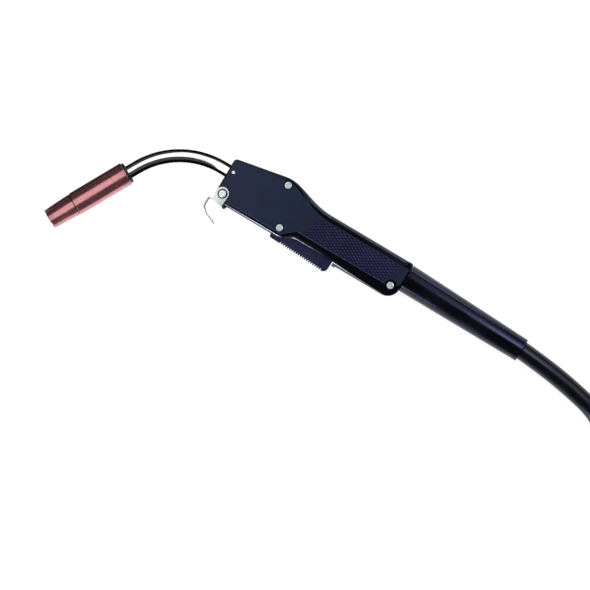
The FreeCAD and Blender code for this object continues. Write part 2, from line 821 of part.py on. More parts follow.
HEAD_SEAT, SCREW_LENGTH = "mid*2 - 3.4", 27.6
shell_screws, shell_nuts = [], []
for end in SHELL_SCREWS:
    at = (end + "_screw_x", end + "_screw_y")
    shell_screws.append(cross_screw("screw_" + end, *at, HEAD_SEAT, SCREW_LENGTH))
    nut_blank = hexagon("nut_blank_" + end, "nut_corner", (*at, "0.6"), "nut_height")
    nut_thread = rod("nut_thread_" + end, "screw_radius + 0.05", (*at, "0"), UP, "6")
    shell_nuts.append(less("nut_" + end, nut_blank, nut_thread))
handle_screws = group("handle_screws", *shell_screws)
handle_nuts = group("handle_nuts", *shell_nuts)
clamp_screw = less(
    "tube_clamp_screw",
    rod("clamp_blank", "clamp_radius", ("clamp_x", "clamp_y", "mid + 6.55"), UP, "8.4"),
    hexagon("clamp_key", "0.9", ("clamp_x", "clamp_y", "mid + 13.2"), "4"),
)

# ---- trigger ----

trigger_blank = plate(
    "trigger_blank",
    [
        ("trigger_front", "3.4", "1.5"),
        ("trigger_front", "- 4.7"),
        ("trigger_front + 1.4", "trigger_bottom"),
        ("trigger_back", "trigger_bottom", "5"),
        ("trigger_back", "trigger_top", "1"),
        ("12", "trigger_top", "2"),
        ("3.6", "3.4", "1"),
    ],
    "- trigger_half",
    "trigger_half",
)
TEETH_START, TEETH_COUNT = 8.5, 20
tooth_gaps = []
for i in range(TEETH_COUNT):
    x = TEETH_START + i * DIMENSIONS["tooth_pitch"]
    gap = [
        (str(x), "trigger_bottom - 0.5"),
        (str(x), "trigger_bottom"),
        (str(x + 0.4), "trigger_bottom + tooth_depth"),
        (str(x + 1.1), "trigger_bottom + tooth_depth"),
        (str(x + 1.5), "trigger_bottom"),
        (str(x + 1.5), "trigger_bottom - 0.5"),
    ]
    tooth_gaps.append(plate("tooth_gap_%d" % i, gap, "- 8", "8"))
finger_grooves = [
    block("finger_groove_%d" % i, ("- 5", "6.2"), ("- 4.3", "- 3.6"), z)
    for i, z in enumerate((("- 8", "- trigger_half + 0.5"), ("trigger_half - 0.5", "8")))
]
channel = plate(
    "channel",
    [
        ("7.5", "10"),
        ("7.5", "1.5"),
        ("9.5", "- 3.2"),
        ("trigger_back - 2", "- 3.2"),
        ("trigger_back - 2", "10"),
    ],
    "- 5",
    "5",
)
trigger_post = block("trigger_post", ("16.2", "19.4"), ("- 4", "4.6"), ("- 3", "3"))
trigger_lugs = less(
    "trigger_lugs",
    block("lug_bar", ("55", "60"), ("8", "12"), ("- 8.9", "8.9")),
    block("lug_under_left", ("54", "61"), ("7", "10.65"), ("trigger_half", "9")),
    block("lug_under_right", ("54", "61"), ("7", "10.65"), ("- 9", "- trigger_half")),
    block("lug_gap", ("54", "61"), ("7", "13"), ("- 5", "5")),
)
pin_bore = rod("pin_bore", "pin_radius + 0.05", ("0", "0", "- 8"), UP, "16")
trigger_hollow = less("trigger_hollow", trigger_blank, channel, *tooth_gaps, *finger_grooves)
trigger = less("trigger", fused("trigger_solid", trigger_hollow, trigger_post, trigger_lugs), pin_bore)
trigger.Placement = AT_PIVOT
trigger_pin = rod("trigger_pin", "pin_radius", ("0", "pivot_y", "4.6"), UP, "22.8")

SPRING_X, SPRING_FOOT, SPRING_TOP = 45.9, -34.5, -19.1
SPRING_WIRE = 0.45
spring_foot = Vector(SPRING_X, SPRING_FOOT + SPRING_WIRE, size_of("mid"))
spring_body = new_body("trigger_spring", Placement(spring_foot, Rotation(Vector(1, 0, 0), -90)))
wire = new_sketch(spring_body, "spring_wire", "XZ_Plane")
add_circle(wire, "3.1", "0", str(SPRING_WIRE))
spring_coil = spring_body.newObject("PartDesign::AdditiveHelix", "spring_coil")
spring_coil.Profile = wire
spring_coil.ReferenceAxis = (wire, ["V_Axis"])
spring_coil.Mode = 0  # by pitch and height
spring_coil.Height = SPRING_TOP - SPRING_FOOT - 2 * SPRING_WIRE
spring_coil.Pitch = 2.08

# ---- trigger switch ----

switch_cuts = [rod("plunger_bore", "1.35", ("18", "- 24", "mid"), (0, 1, 0), "6")]
small_screws = []
for i, (x, y) in enumerate(SWITCH_SCREWS):
    switch_cuts.append(rod("switch_hole_%d" % i, "1.3", (x, y, "10"), UP, "12"))
    small_screws.append(rod("switch_screw_%d" % i, "1.25", (x, y, "mid - 3.25"), UP, "6.5"))
switch_case = block("switch_case", ("9", "29"), ("- 23", "- 12.6"), ("mid - 3.2", "mid + 3.2"))
switch_body = less("switch_body", switch_case, *switch_cuts)
switch_plunger = rod("switch_plunger", "1.3", ("18", "- 25.1", "mid"), (0, 1, 0), "4.9")
switch_screws = group("switch_screws", *small_screws)
TERMINAL_X, TERMINAL_HALF = (14, 20, 26), 1.5
terminal_y, terminal_z = ("- 12.55", "- 10.6"), ("mid + 2.2", "mid + 2.7")
terminals = [
    block("terminal_%d" % i, (x - TERMINAL_HALF, x + TERMINAL_HALF), terminal_y, terminal_z)
    for i, x in enumerate(TERMINAL_X)
]
switch_terminals = group("switch_terminals", *terminals)
LEAD_SIDE = 3.6  # how far each lead runs off the middle
leads = []
for i, (bend, z) in enumerate((("50", LEAD_SIDE), ("47", -LEAD_SIDE))):
    line = [("27.6", "- 11.6"), (bend, "- 9.6", "12"), ("61.9", "- 8.1")]
    leads.append(piped("lead_%d" % i, line, ("0.8",), Placement(AT_MID + Vector(0, 0, z), Rotation())))
switch_leads = group("switch_leads", *leads)

# ---- hanging hook ----

EAR_OUTLINE = [
    ("hook_x - ear_radius", "hook_y + ear_radius", "6.4"),
    ("hook_x + ear_radius", "hook_y + ear_radius", "6.4"),
    ("- 60", "- 34.3"),
    ("- 72.2", "- 32"),
]
ear_left = plate("ear_left", EAR_OUTLINE, "mid*2 - 1.8", "mid*2 - 0.6")
ear_right = plate("ear_right", EAR_OUTLINE, "0.6", "1.8")
hook_web = plate(
    "hook_web",
    [("- 72.9", "- 31.0"), ("- 60", "- 33.5"), ("- 60.2", "- 34.7"), ("- 73.2", "- 32.2")],
    "0.6",
    "mid*2 - 0.6",
)
hook_tongue = piped(
    "hook_tongue",
    [
        ("- 72.7", "- 31.6"),
        ("- 76.3", "- 32.3", "1.4"),
        ("- 76.4", "- 42.5", "7"),
        ("- 70.5", "- 48.3", "8"),
        ("- 60.8", "- 52.1", "3"),
        ("- 58.6", "- 53.6"),
    ],
    (),
    ON_AXIS,
    ("sheet", "tongue_half"),
)
hanger_hook = less(
    "hanger_hook",
    fused("hook_solid", ear_left, ear_right, hook_web, hook_tongue),
    rod("ear_hole_left", "screw_hole", ("hook_x", "hook_y", "mid"), UP, "20"),
    rod("ear_hole_right", "3.05", ("hook_x", "hook_y", "- 1"), UP, "8"),
)
WASHER_TOP = "mid*2 + 0.15"
hook_washer = less(
    "hook_washer",
    rod("washer_blank", "5", ("hook_x", "hook_y", "mid*2 - 0.6"), UP, "0.75"),
    rod("washer_bore", "2.1", ("hook_x", "hook_y", "mid"), UP, "20"),
)
hook_screw = cross_screw("hook_screw", "hook_x", "hook_y", WASHER_TOP, 28)
hook_nut = less(
    "hook_nut",
    fused(
        "nut_barrel",
        rod("nut_flange", "4.2", ("hook_x", "hook_y", "0.05"), UP, "0.5"),
        rod("nut_sleeve", "3", ("hook_x", "hook_y", "0.05"), UP, "12"),
    ),
    rod("nut_thread", "2.05", ("hook_x", "hook_y", "1.5"), UP, "20"),
    block("nut_slot", ("- 70", "- 61"), ("hook_y - 0.5", "hook_y + 0.5"), ("- 1", "0.35")),
)

# ---- free cable ----

# The cable's route between the boot and the coil: each point is a corner of the line.
boot_exit = AT_TILT.multVec(Vector(size_of("boot_end"), 0, 0))
ROUTE = [
    boot_exit,
    Vector(300.0, -6.9, 14.4),
    Vector(330.0, -11.4, 11.5),
    Vector(361.0, -19.3, 9.8),
    Vector(382.4, -30.1, 9.6),
    Vector(401.0, -45.2, 9.55),
    Vector(415.9, -63.9, 9.55),
]
# The coil: two turns in on the floor and two and a bit out on top of them, a cable apart.
entry = ROUTE[-1] - ROUTE[-2]
ENTRY_HEADING = math.atan2(entry.y, entry.x)
OUTER_TURN, INNER_TURN = 116.0, 78.0
COIL_HEIGHT = 4 * DIMENSIONS["cable_radius"]
to_centre = Vector(-math.sin(ENTRY_HEADING), math.cos(ENTRY_HEADING), 0)
COIL_CENTRE = ROUTE[-1] + to_centre * OUTER_TURN
COIL_TURNS = 4 - ENTRY_HEADING / (2 * math.pi)
LAST_TURN = INNER_TURN + (COIL_TURNS - 2) * (OUTER_TURN - INNER_TURN) / 2
RING_INNER, RING_OUTER = INNER_TURN - 10, LAST_TURN + 9
TAIL_START = Vector(COIL_CENTRE.x, COIL_CENTRE.y - LAST_TURN, 3 * DIMENSIONS["cable_radius"])
PLUG_RUN = 72  # from where the cable leaves the coil to the plug's boot
plug_z = DIMENSIONS["plug_nut_radius"] + 0.3
AT_PLUG = Placement(Vector(TAIL_START.x + PLUG_RUN, TAIL_START.y - 3, plug_z), Rotation())
TAIL = [
    TAIL_START,
    TAIL_START + Vector(37, -1.2, -1.8),
    AT_PLUG.Base + Vector(5, 0, 0),
    AT_PLUG.Base + Vector(43.9, 0.3, 0),
]


def tube_along(points, radius):
    """A round tube along runs joined by arcs as large as the runs allow, and the arcs' radii."""
    edges, radii, last = [], [], points[0]
    for before, at, after in zip(points, points[1:], points[2:]):
        back, ahead = (before - at).normalize(), (after - at).normalize()
        half = back.getAngle(ahead) / 2
        reach = 0.45 * min(before.distanceToPoint(at), at.distanceToPoint(after))
        radii.append(reach * math.tan(half))
        start, end = at + back * reach, at + ahead * reach
        inward = (back + ahead).normalize()
        middle = at + inward * (reach / math.cos(half) - radii[-1])
        edges += [Part.LineSegment(last, start).toShape(), Part.Arc(start, middle, end).toShape()]
        last = end
    edges.append(Part.LineSegment(last, points[-1]).toShape())
    path = Part.Wire(edges)
    circle = Part.Wire(Part.Circle(points[0], points[1] - points[0], radius).toShape())
    tube = path.makePipeShell([circle], True, False)
    print("arc radii", [round(r) for r in radii], "length", round(path.Length, 1))
    print("volume over section times length", tube.Volume / (math.pi * radius**2 * path.Length))
    return tube


def feature(label, shape):
    """A piece whose shape is made directly."""
    piece = doc.addObject("Part::Feature", label)
    piece.Shape = shape
    piece.Label = label
    return piece


cable_radius = DIMENSIONS["cable_radius"]
ring_foot = Vector(COIL_CENTRE.x, COIL_CENTRE.y, 0)
run_tube, tail_tube = tube_along(ROUTE, cable_radius), tube_along(TAIL, cable_radius)
ring = Part.makeCylinder(RING_OUTER, COIL_HEIGHT, ring_foot)
ring = ring.cut(Part.makeCylinder(RING_INNER, COIL_HEIGHT, ring_foot)).cut(run_tube).cut(tail_tube)
cable_run = feature("cable_run", run_tube)
cable_coil = feature("cable_coil", max(ring.Solids, key=lambda solid: solid.Volume))
cable_tail = feature("cable_tail", tail_tube)
TIE_HALF_WIDTH, TIE_THICK, TIE_ROOM = 12.5, 1.4, 2
tie_x = (COIL_CENTRE.x + RING_INNER - TIE_ROOM, COIL_CENTRE.x + RING_OUTER + TIE_ROOM)
tie_outside_x = (tie_x[0] - TIE_THICK, tie_x[1] + TIE_THICK)
tie_y = (COIL_CENTRE.y - TIE_HALF_WIDTH, COIL_CENTRE.y + TIE_HALF_WIDTH)
tie_inside_y = (tie_y[0] - 1, tie_y[1] + 1)
coil_tie = less(
    "coil_tie",
    block("tie_outside", tie_outside_x, tie_y, ("0", COIL_HEIGHT + TIE_THICK)),
    block("tie_inside", tie_x, tie_inside_y, (TIE_THICK, COIL_HEIGHT)),
)

# ---- plug ----

plug_boot = turned(
    "plug_boot",
    [
        ("0", "cable_radius + 0.05"),
        ("0", "11.3", "0.8"),
        ("30", "14"),
        ("30", "12"),
        ("33", "12"),
        ("33", "14"),
        ("36", "14"),
        ("36", "cable_radius + 0.05"),
    ],
    AT_PLUG,
)
plug_housing = turned(
    "plug_housing",
    [
        ("30.1", "12.05"),
        ("30.1", "16.5", "2"),
        ("40", "18", "20"),
        ("plug_nut_start - 0.4", "18", "0.8"),
        ("plug_nut_start - 0.4", "plug_body_radius + 0.05"),
        ("32.9", "plug_body_radius + 0.05"),
        ("32.9", "12.05"),
    ],
    AT_PLUG,
)
O_RING_X = (112, 119)
groove = []
for x in O_RING_X:
    groove += [
        (str(x - 0.8), "plug_pin_radius"),
        (str(x - 0.8), "plug_pin_radius - 1.4"),
        (str(x + 0.8), "plug_pin_radius - 1.4"),
        (str(x + 0.8), "plug_pin_radius"),
    ]
plug_blank = turned(
    "plug_blank",
    [
        ("44", "core_bore"),
        ("44", "plug_body_radius"),
        ("plug_nut_start + 2.7", "plug_body_radius"),
        ("plug_nut_start + 2.7", "16.3"),
        ("plug_nut_start + 5.6", "16.3"),
        ("plug_nut_start + 5.6", "14"),
        ("plug_face", "14", "1"),
        ("plug_face", "plug_pin_radius"),
        *groove,
        ("plug_face + pin_length", "plug_pin_radius", "0.8"),
        ("plug_face + pin_length", "core_bore"),
    ],
    AT_PLUG,
)
CONTACT_AXIS_RADIUS = 9.5
CONTACT_ANGLES = {"a": 60, "b": 120}


def contact_place(angle, along):
    """A point on a contact's axis, in the plug's frame turned by an angle."""
    side = Rotation(Vector(1, 0, 0), angle).multVec(Vector(0, CONTACT_AXIS_RADIUS, 0))
    return AT_PLUG.multVec(side + Vector(along, 0, 0))


contact_holes = [
    rod("contact_hole_" + end, "contact_radius + 0.05", contact_place(angle, 80.9), BACK, "20")
    for end, angle in CONTACT_ANGLES.items()
]
plug_body = less("plug_body", plug_blank, *contact_holes)
plug_contacts = {
    end: rod("plug_contact_" + end, "contact_radius", contact_place(angle, 84.2), BACK, "16.8")
    for end, angle in CONTACT_ANGLES.items()
}
nut_blank = turned(
    "plug_nut_blank",
    [
        ("plug_nut_start", "plug_body_radius + 0.08"),
        ("plug_nut_start", "plug_nut_radius - 3", "1.5"),
        ("plug_nut_start + 6", "plug_nut_radius"),
        ("plug_nut_end", "plug_nut_radius", "1"),
        ("plug_nut_end", "16.8"),
        ("plug_nut_start + 2.6", "16.8"),
        ("plug_nut_start + 2.6", "plug_body_radius + 0.08"),
    ],
    AT_PLUG,
)
FLUTE_COUNT = 12
flutes = []
for i in range(FLUTE_COUNT):
    turn = Rotation(Vector(1, 0, 0), 360 / FLUTE_COUNT * (i + 0.5))
    side = turn.multVec(Vector(0, DIMENSIONS["plug_nut_radius"] + 1.4, 0))
    foot = AT_PLUG.multVec(side + Vector(DIMENSIONS["plug_nut_start"] + 5, 0, 0))
    flutes.append(rod("flute_%d" % i, "2.8", foot, BACK, "40"))
plug_nut = less("plug_nut", nut_blank, *flutes)


def o_ring(name, along):
    """A seal ring that lies flush in its groove."""
    torus = doc.addObject("Part::Torus", name)
    torus.Radius2 = 0.65
    torus.Radius1 = DIMENSIONS["plug_pin_radius"] - 0.72
    torus.Placement = Placement(
        AT_PLUG.multVec(Vector(along, 0, 0)), Rotation(Vector(0, 0, 1), Vector(1, 0, 0))
    )
    return torus


plug_o_rings = group("plug_o_rings", *(o_ring("o_ring_%d" % i, x) for i, x in enumerate(O_RING_X)))
pin_end = AT_PLUG.multVec(Vector(size_of("plug_face + pin_length"), 0, 0))
plug_liner_nut = less(
    "plug_liner_nut",
    hexagon("liner_nut_blank", "4.6", pin_end, "5", BACK),
    rod("liner_nut_bore", "1.2", pin_end - Vector(1, 0, 0), BACK, "8"),
)

# ---- check and write ----

PIECES = [
    nozzle,
    insulator,
    spring_ring,
    diffuser,
    contact_tip,
    tube_jacket,
    tube_insulation,
    tube_core,
    wire_liner,
    connector_block,
    connector_set_screws,
    cable_ferrule,
    cable_strands,
    gas_hose,
    cable_jacket,
    cable_boot,
    left_handle_shell,
    right_handle_shell,
    handle_screws,
    handle_nuts,
    clamp_screw,
    trigger,
    trigger_pin,
    spring_body,
    switch_body,
    switch_plunger,
    switch_screws,
    switch_terminals,
    switch_leads,
    hanger_hook,
    hook_washer,
    hook_screw,
    hook_nut,
    cable_run,
    cable_coil,
    cable_tail,
    coil_tie,
    plug_boot,
    plug_housing,
    plug_body,
    plug_contacts["a"],
    plug_contacts["b"],
    plug_nut,
    plug_o_rings,
    plug_liner_nut,
]

doc.recompute()
faults = [o.Name for o in doc.Objects if "Invalid" in o.State or "Error" in o.State]
faults += [p.Label for p in PIECES if p.Shape.isNull() or not p.Shape.isValid()]
if faults:
    raise SystemExit("these objects failed: %s" % faults)
os.makedirs("parts", exist_ok=True)
for piece in PIECES:
    piece.Shape.exportStep("parts/%s.step" % piece.Label)
    print(piece.Label, "solids", len(piece.Shape.Solids), "volume", round(piece.Shape.Volume, 1))
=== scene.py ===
import json
import math

import bmesh
import bpy
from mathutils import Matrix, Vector


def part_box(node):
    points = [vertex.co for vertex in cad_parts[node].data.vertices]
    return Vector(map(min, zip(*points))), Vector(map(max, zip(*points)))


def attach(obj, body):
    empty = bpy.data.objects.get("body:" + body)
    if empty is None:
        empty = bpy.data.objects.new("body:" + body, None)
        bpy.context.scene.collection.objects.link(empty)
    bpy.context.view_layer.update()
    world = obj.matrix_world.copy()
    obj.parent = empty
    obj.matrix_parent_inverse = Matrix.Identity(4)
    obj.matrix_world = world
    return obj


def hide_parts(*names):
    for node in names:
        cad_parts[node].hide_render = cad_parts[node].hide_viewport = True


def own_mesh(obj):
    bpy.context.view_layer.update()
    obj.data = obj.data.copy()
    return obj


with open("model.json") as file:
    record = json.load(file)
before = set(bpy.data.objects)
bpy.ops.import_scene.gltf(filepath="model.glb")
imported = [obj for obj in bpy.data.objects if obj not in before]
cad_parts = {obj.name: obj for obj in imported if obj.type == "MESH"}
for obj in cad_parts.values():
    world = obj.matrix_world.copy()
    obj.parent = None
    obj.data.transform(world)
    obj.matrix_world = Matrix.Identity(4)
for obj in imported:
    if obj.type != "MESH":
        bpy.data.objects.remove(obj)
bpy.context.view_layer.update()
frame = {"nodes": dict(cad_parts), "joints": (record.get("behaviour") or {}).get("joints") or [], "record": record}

# Looks of an air-cooled MIG welding torch that lies on its right side. Units are metres.
# X runs back along the handle from the trigger's pivot, Y towards the handle's top, and Z up
# from the face that the torch lies on.

NODES = frame["nodes"]
JOINTS = {joint["name"]: joint for joint in frame["joints"]}
MM = 0.001


# ---- camera, floor and light ----

VIEW_CENTRE = Vector((0.0480, -0.0726, 0.016))  # the middle of the view, at half the handle's thickness
VIEW_SIDE = 0.59  # the width of what the camera sees there
CAMERA_RISE = 3.0
CAMERA_TURN = math.radians(30.7)
SENSOR = 36.0
FLOOR_SIDE, FLOOR_DROP = 24, 0.4 * MM

# The bent tube's middle line: straight out of the handle, round one bend, then straight again.
TUBE_BEND_START, TUBE_BEND_RADIUS = -79.5 * MM, 84 * MM
TUBE_BEND_ANGLE = math.radians(61.5)
TUBE_LEAD, TUBE_END = 12 * MM, 10 * MM
BEND_STEPS = 24
# The outlines of the dark strips: (distance to the outer side, height), in mm.
TUBE_TROUGH = ((9, 21.2), (9, 8.5), (-9, 8.5), (-9, 23.0))
NOZZLE_STRIP = ((14, 25), (14, 2), (4, 2))
NOZZLE_STRIP_HALF = 50 * MM
TROUGH_BLACK, STRIP_GREY = 0.004, 0.2


def make_camera():
    """A long lens straight above the torch, turned so that the handle slopes down to the right."""
    data = bpy.data.cameras.new("camera")
    data.sensor_width = SENSOR
    data.lens = SENSOR * CAMERA_RISE / VIEW_SIDE
    data.clip_start = 0.1
    data.clip_end = 100.0
    camera = bpy.data.objects.new("camera", data)
    camera.location = VIEW_CENTRE + Vector((0, 0, CAMERA_RISE))
    camera.rotation_euler = (0, 0, CAMERA_TURN)
    bpy.context.scene.collection.objects.link(camera)
    bpy.context.scene.camera = camera


def softbox(name, low, high, rise, brightness, aim=None):
    """A rectangular lamp at one height, between two corners. It faces down, or a point."""
    data = bpy.data.lights.new(name, "AREA")
    data.shape = "RECTANGLE"
    data.size = high[0] - low[0]
    data.size_y = high[1] - low[1]
    data.energy = brightness * math.pi * data.size * data.size_y
    lamp = bpy.data.objects.new(name, data)
    lamp.location = ((low[0] + high[0]) / 2, (low[1] + high[1]) / 2, rise)
    if aim:
        lamp.rotation_euler = (Vector(aim) - lamp.location).to_track_quat("-Z", "Y").to_euler()
    lamp.visible_camera = False
    bpy.context.scene.collection.objects.link(lamp)
    return lamp


def make_flag(name, line, outline, shade):
    """A dark strip along a line of places and headings, seen only in a metal piece's reflections."""
    bm = bmesh.new()
    rows = []
    for place, turn in line:
        outer_side = Vector((-math.sin(turn), math.cos(turn), 0))
        row = [place + outer_side * reach * MM + Vector((0, 0, height * MM)) for reach, height in outline]
        rows.append([bm.verts.new(point) for point in row])
    for one, two in zip(rows, rows[1:]):
        for i in range(len(outline) - 1):
            bm.faces.new((one[i], one[i + 1], two[i + 1], two[i]))
    flag = bpy.data.objects.new(name, mesh_of(name, bm))
    bpy.context.scene.collection.objects.link(flag)
    flag.data.materials.append(matt_paint(name, (shade, shade, shade), 1.0).material)
    flag.visible_camera = False
    flag.visible_diffuse = False


def make_flags():
    """A black trough under the bent tube, and a grey strip along the nozzle's outer side."""
    line = [(Vector((TUBE_BEND_START + TUBE_LEAD, 0, 0)), 0.0)]
    for i in range(BEND_STEPS + 1):
        turn = TUBE_BEND_ANGLE * i / BEND_STEPS
        along = TUBE_BEND_START - TUBE_BEND_RADIUS * math.sin(turn)
        aside = TUBE_BEND_RADIUS * (math.cos(turn) - 1)
        line.append((Vector((along, aside, 0)), turn))
    forward = Vector((-math.cos(TUBE_BEND_ANGLE), -math.sin(TUBE_BEND_ANGLE), 0))
    line.append((line[-1][0] + forward * TUBE_END, TUBE_BEND_ANGLE))
    make_flag("flag_under_tube", line, TUBE_TROUGH, TROUGH_BLACK)
    low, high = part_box("nozzle")
    middle = Vector(((low.x + high.x) / 2, (low.y + high.y) / 2, 0))
    ends = [(middle + forward * NOZZLE_STRIP_HALF * way, TUBE_BEND_ANGLE) for way in (-1, 1)]
    make_flag("flag_beside_nozzle", ends, NOZZLE_STRIP, STRIP_GREY)


def make_stage():
    """A pale floor that glows a little, a dim even surround, and lamps made for the metals' bands."""
    bpy.context.scene.view_settings.view_transform = "Standard"
    world = bpy.data.worlds.new("surround")
    bpy.context.scene.world = world
    world.use_nodes = True
    surround = world.node_tree.nodes["Background"]
    surround.inputs["Color"].default_value = (0.90, 0.93, 1.0, 1)
    surround.inputs["Strength"].default_value = 0.065
    bpy.ops.mesh.primitive_plane_add(size=FLOOR_SIDE, location=(0, 0, -FLOOR_DROP))
    floor = bpy.context.object
    floor.name = "floor"
    paint = matt_paint("floor_paint", (0.40, 0.41, 0.41), 0.9)
    paint.set("Emission Color", (1.0, 1.0, 1.0, 1))
    paint.set("Emission Strength", 0.78)
    floor.data.materials.append(paint.material)
    softbox("lamp_over_neck", (-0.46, -0.90), (-0.078, 0.60), 0.42, 1.3)
    softbox("lamp_behind_boot", (0.16, 0.13), (0.70, 0.70), 0.45, 1.05)
    softbox("lamp_behind_cable", (0.26, 0.08), (0.42, 0.30), 0.44, 4.0)
    softbox("lamp_low_front", (-0.02, -0.85), (0.15, -0.67), 0.15, 15.0, aim=(0.06, 0, 0.01))
    softbox("lamp_low_rail", (-0.07, -0.55), (0.03, -0.45), 0.09, 42.0, aim=(-0.02, 0, 0.02))
    softbox("lamp_low_back", (0.02, 0.70), (0.30, 0.80), 0.14, 5.0, aim=(0.12, 0, 0.01))
    fill = softbox("lamp_high", (-0.7, -0.7), (0.9, 0.9), 2.6, 3.4)
    fill.visible_glossy = False
    make_flags()


# ---- materials ----

# How many times the textures repeat in a metre.
SMUDGE_SCALE, DUST_SCALE, RIPPLE_SCALE = 38.0, 420.0, 160.0

NAVY_SHEEN = (0.62, 0.66, 1.0)
PURPLE_SHEEN = (0.5, 0.5, 1.0)
WHITE_SHEEN = (1, 1, 1)
PANEL_FACES = (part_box("right_handle_shell")[0].z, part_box("left_handle_shell")[1].z)
PANEL_NAVY = (0.0055, 0.0105, 0.030)
# A darker copy of the panels' colour for the rounded edges: painted shade.
SHADED_EDGE_BLACK = (0.0012, 0.0014, 0.0024)
# The colour of a painted highlight line along each panel's rim.
PAINTED_RIM_HIGHLIGHT = (0.11, 0.10, 0.19)
HOOK_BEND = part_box("left_handle_shell")[0].x - 2 * MM  # the hook's tongue lies in front of this, and gets a painted darker reflection
NOZZLE_HALF_LENGTH = 47 * MM
STEP_GROOVE, GROOVE_HALF_WIDTH = 60.2 * MM, 0.65 * MM  # the groove's place from the nozzle's rear face
HEAT_STAIN = (0.23, 0.075, 0.07)
# Painted shade: the dark copper line in the step's groove.
GROOVE_SHADE_COPPER = (0.09, 0.025, 0.025)


class Paint:
    """A node material: one principled shader, and textures in the torch's own coordinates."""

    def __init__(self, name, colour, roughness, metallic=0.0):
        self.material = bpy.data.materials.new(name)
        self.material.use_nodes = True
        self.tree = self.material.node_tree
        self.shader = self.tree.nodes["Principled BSDF"]
        self.set("Base Color", (*colour, 1))
        self.set("Roughness", roughness)
        self.set("Metallic", metallic)
        self.place = self.node("ShaderNodeTexCoord").outputs["Object"]

    def set(self, socket, value):
        """Gives one of the shader's sockets a constant."""
        self.shader.inputs[socket].default_value = value

    def node(self, kind, **settings):
        made = self.tree.nodes.new(kind)
        for key, value in settings.items():
            setattr(made, key, value)
        return made

    def link(self, source, target):
        self.tree.links.new(source, target)

    def stretched(self, scale):
        """The coordinates, scaled along each axis."""
        mapping = self.node("ShaderNodeMapping")
        mapping.inputs["Scale"].default_value = scale
        self.link(self.place, mapping.inputs["Vector"])
        return mapping.outputs["Vector"]

    def noise(self, scale, detail=3.0, vector=None):
        texture = self.node("ShaderNodeTexNoise")
        texture.inputs["Scale"].default_value = scale
        texture.inputs["Detail"].default_value = detail
        self.link(vector or self.place, texture.inputs["Vector"])
        return texture.outputs["Fac"]

    def between(self, factor, low, high, start=0.35, end=0.65):
        """A number or colour that goes from low to high as the factor goes from start to end."""
        ramp = self.node("ShaderNodeValToRGB")
        points = ramp.color_ramp.elements
        points[0].position, points[1].position = start, end
        as_colour = [v if isinstance(v, tuple) else (v, v, v) for v in (low, high)]
        points[0].color, points[1].color = (*as_colour[0], 1), (*as_colour[1], 1)
        self.link(factor, ramp.inputs["Fac"])
        return ramp.outputs["Color"]

    def past(self, axis, start, end):
        """A number that goes from 0 to 1 between two places along X, Y or Z."""
        parts = self.node("ShaderNodeSeparateXYZ")
        self.link(self.place, parts.inputs[0])
        ramp = self.node("ShaderNodeMapRange")
        ramp.inputs["From Min"].default_value = start
        ramp.inputs["From Max"].default_value = end
        self.link(parts.outputs[axis], ramp.inputs["Value"])
        return ramp.outputs["Result"]

    def band(self, axis, middle, near=0.2 * MM, far=0.45 * MM):
        """A number that is 1 between two distances from a place along X, Y or Z, and 0 elsewhere."""
        parts = self.node("ShaderNodeSeparateXYZ")
        self.link(self.place, parts.inputs[0])
        offset = self.node("ShaderNodeMath", operation="SUBTRACT")
        self.link(parts.outputs[axis], offset.inputs[0])
        offset.inputs[1].default_value = middle
        distance = self.node("ShaderNodeMath", operation="ABSOLUTE")
        self.link(offset.outputs[0], distance.inputs[0])
        inside = self.node("ShaderNodeMath", operation="COMPARE")
        self.link(distance.outputs[0], inside.inputs[0])
        inside.inputs[1].default_value = (near + far) / 2
        inside.inputs[2].default_value = (far - near) / 2
        return inside.outputs[0]

    def mixed(self, kind, factor, first, second):
        """Two colours or numbers, mixed by a factor. Each of the three may be a constant or a socket."""
        mix = self.node("ShaderNodeMix", data_type="RGBA", blend_type=kind)
        for socket, value in zip((mix.inputs[0], mix.inputs[6], mix.inputs[7]), (factor, first, second)):
            if isinstance(value, bpy.types.NodeSocket):
                self.link(value, socket)
            elif isinstance(value, tuple):
                socket.default_value = (*value, 1)
            else:
                socket.default_value = value
        return mix.outputs[2]

    def drive(self, socket, source):
        """Links a texture to one of the shader's sockets."""
        self.link(source, self.shader.inputs[socket])

    def bump(self, *layers):
        """Surface relief: each layer is a height and how deep it is, in metres."""
        normal = None
        for height, depth in layers:
            bump = self.node("ShaderNodeBump")
            bump.inputs["Strength"].default_value = 1.0
            bump.inputs["Distance"].default_value = depth
            self.link(height, bump.inputs["Height"])
            if normal is not None:
                self.link(normal, bump.inputs["Normal"])
            normal = bump.outputs["Normal"]
        self.link(normal, self.shader.inputs["Normal"])


def matt_paint(name, colour, roughness):
    """A plain surface with no gloss, for the stage."""
    paint = Paint(name, colour, roughness)
    paint.set("Specular IOR Level", 0.0)
    return paint


def scaled(colour, gain, lift=0.0):
    """A colour made lighter or darker."""
    return tuple(channel * gain + lift for channel in colour)


def moulded(name, colour, roughness, tint, grain=2200.0, depth=0.00002):
    """Moulded plastic or rubber: fine grain, handling marks and a little dust in its low spots."""
    paint = Paint(name, colour, roughness)
    paint.set("Specular Tint", (*tint, 1))
    smudge = paint.noise(SMUDGE_SCALE, 4.0)
    grit = paint.noise(grain, 2.0)
    dust = paint.between(paint.noise(DUST_SCALE, 6.0), 0.0, 1.0, 0.62, 0.8)
    shade = paint.between(smudge, colour, scaled(colour, 1.6, 0.0006), 0.3, 0.75)
    paint.drive("Base Color", paint.mixed("MIX", dust, shade, scaled(colour, 1.5, 0.004)))
    paint.drive("Roughness", paint.between(smudge, roughness - 0.04, roughness + 0.06, 0.3, 0.7))
    paint.bump((grit, depth), (paint.noise(RIPPLE_SCALE, 2.0), depth * 1.5))
    return paint.material


